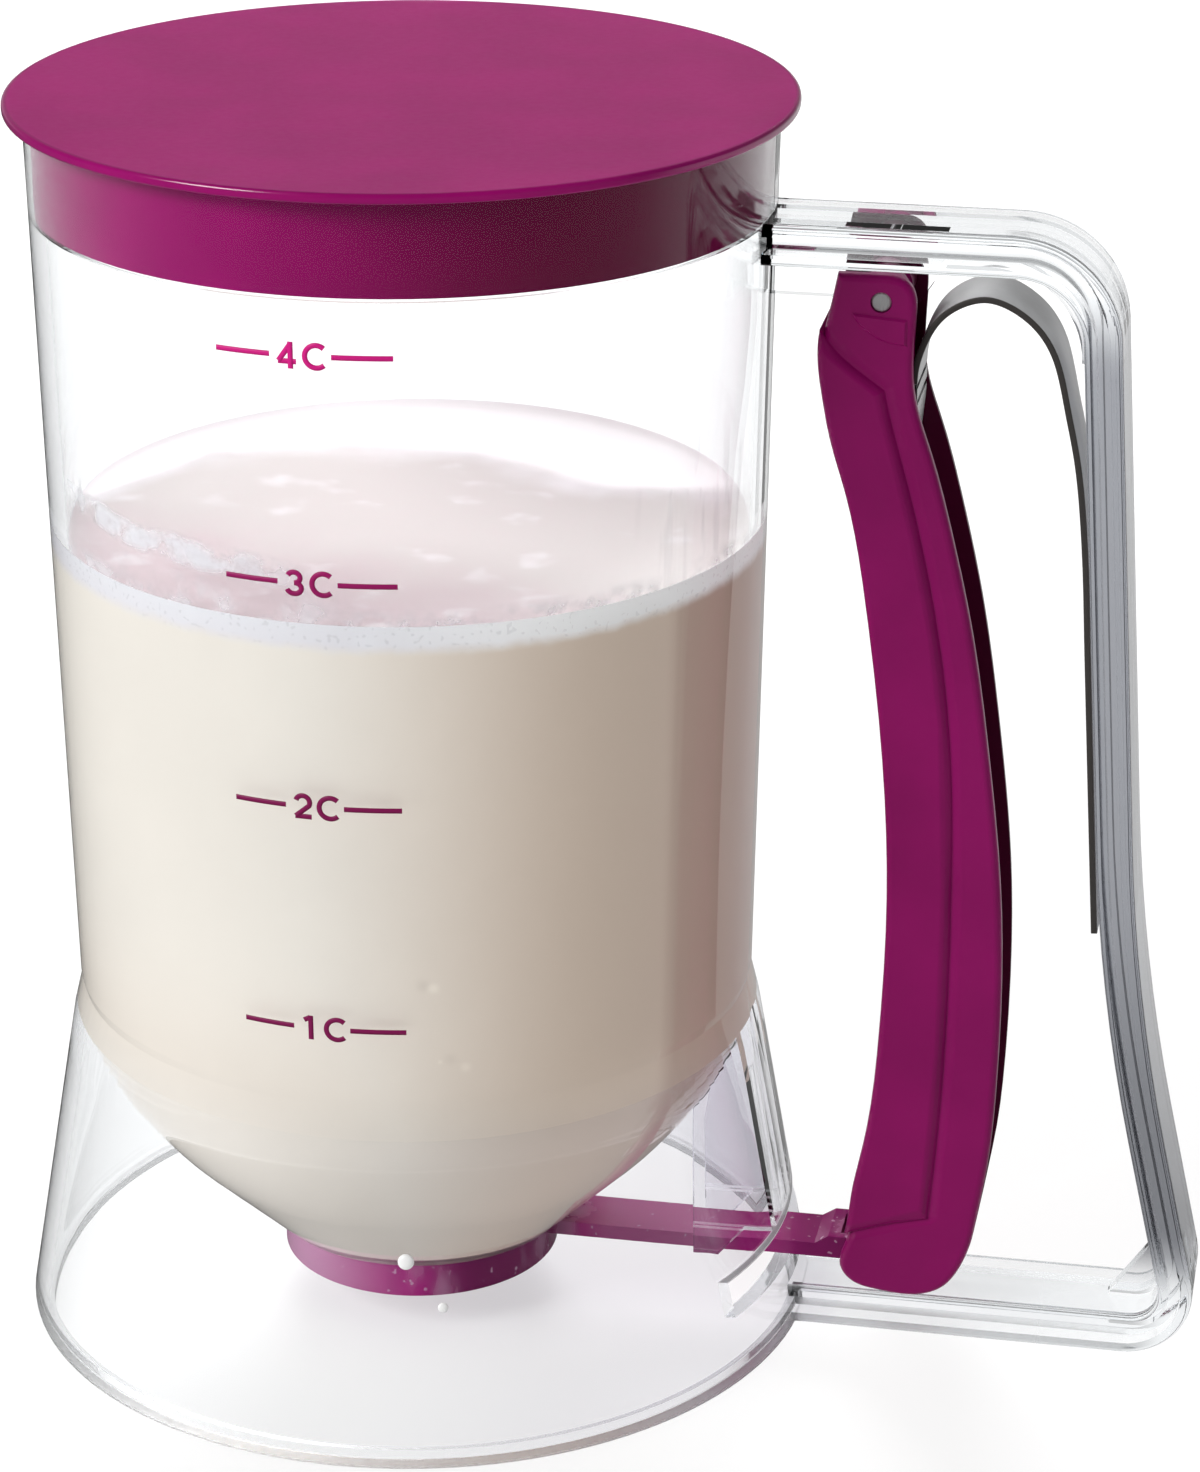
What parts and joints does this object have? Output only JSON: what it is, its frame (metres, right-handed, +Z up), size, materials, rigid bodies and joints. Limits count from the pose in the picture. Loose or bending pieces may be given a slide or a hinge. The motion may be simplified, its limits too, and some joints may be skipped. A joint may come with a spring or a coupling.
{
  "type": "batter dispenser",
  "caption": "Hand-held pancake batter dispenser: clear tapered hopper on a flared skirt, lift-off lid, loop handle, sprung trigger lever and sliding valve under the funnel.",
  "frame": {"origin": "centre of the skirt's foot ring, on the table and on the hopper's axis", "axes": "+Z up along the hopper's axis, +X towards the handle, +Y completes the right-handed frame; the handle, lever and valve lie in the XZ plane"},
  "size_m": [0.1747, 0.117, 0.182],
  "materials": {
    "clear_plastic": "clear, polished",
    "plum_plastic": "moulded, soft gloss",
    "plum_clear_plastic": "tinted, slightly clear",
    "pin_steel": "plain",
    "spring_steel": "rolled strip"
  },
  "bodies": {
    "container": {"hopper": "clear_plastic", "base_skirt": "clear_plastic", "handle_frame": "clear_plastic", "pivot_pin": "pin_steel", "return_spring": "spring_steel"},
    "trigger": {"trigger_lever": "plum_plastic"},
    "valve": {"valve_slide": "plum_clear_plastic"},
    "cover": {"lid": "plum_plastic"}
  },
  "joints": [
    {"name": "lever_pivot", "type": "hinge", "parent": "container", "child": "trigger", "pos_m": [0.0673, 0, 0.1579], "axis": [0, -1, 0], "range_deg": [0, 7.5], "stiffness_Nm_per_rad": 1.2, "springref_deg": -6.88, "deforming": ["return_spring"]},
    {"name": "valve_travel", "type": "slide", "parent": "container", "child": "valve", "axis": [1, 0, 0], "range_m": [0, 0.01905]},
    {"name": "lid_lift", "type": "slide", "parent": "container", "child": "cover", "axis": [0, 0, 1], "range_m": [0, 0.05]}
  ],
  "couplings": [
    {"joint": "valve_travel", "follows": "lever_pivot", "m_per_rad": 0.1455}
  ]
}
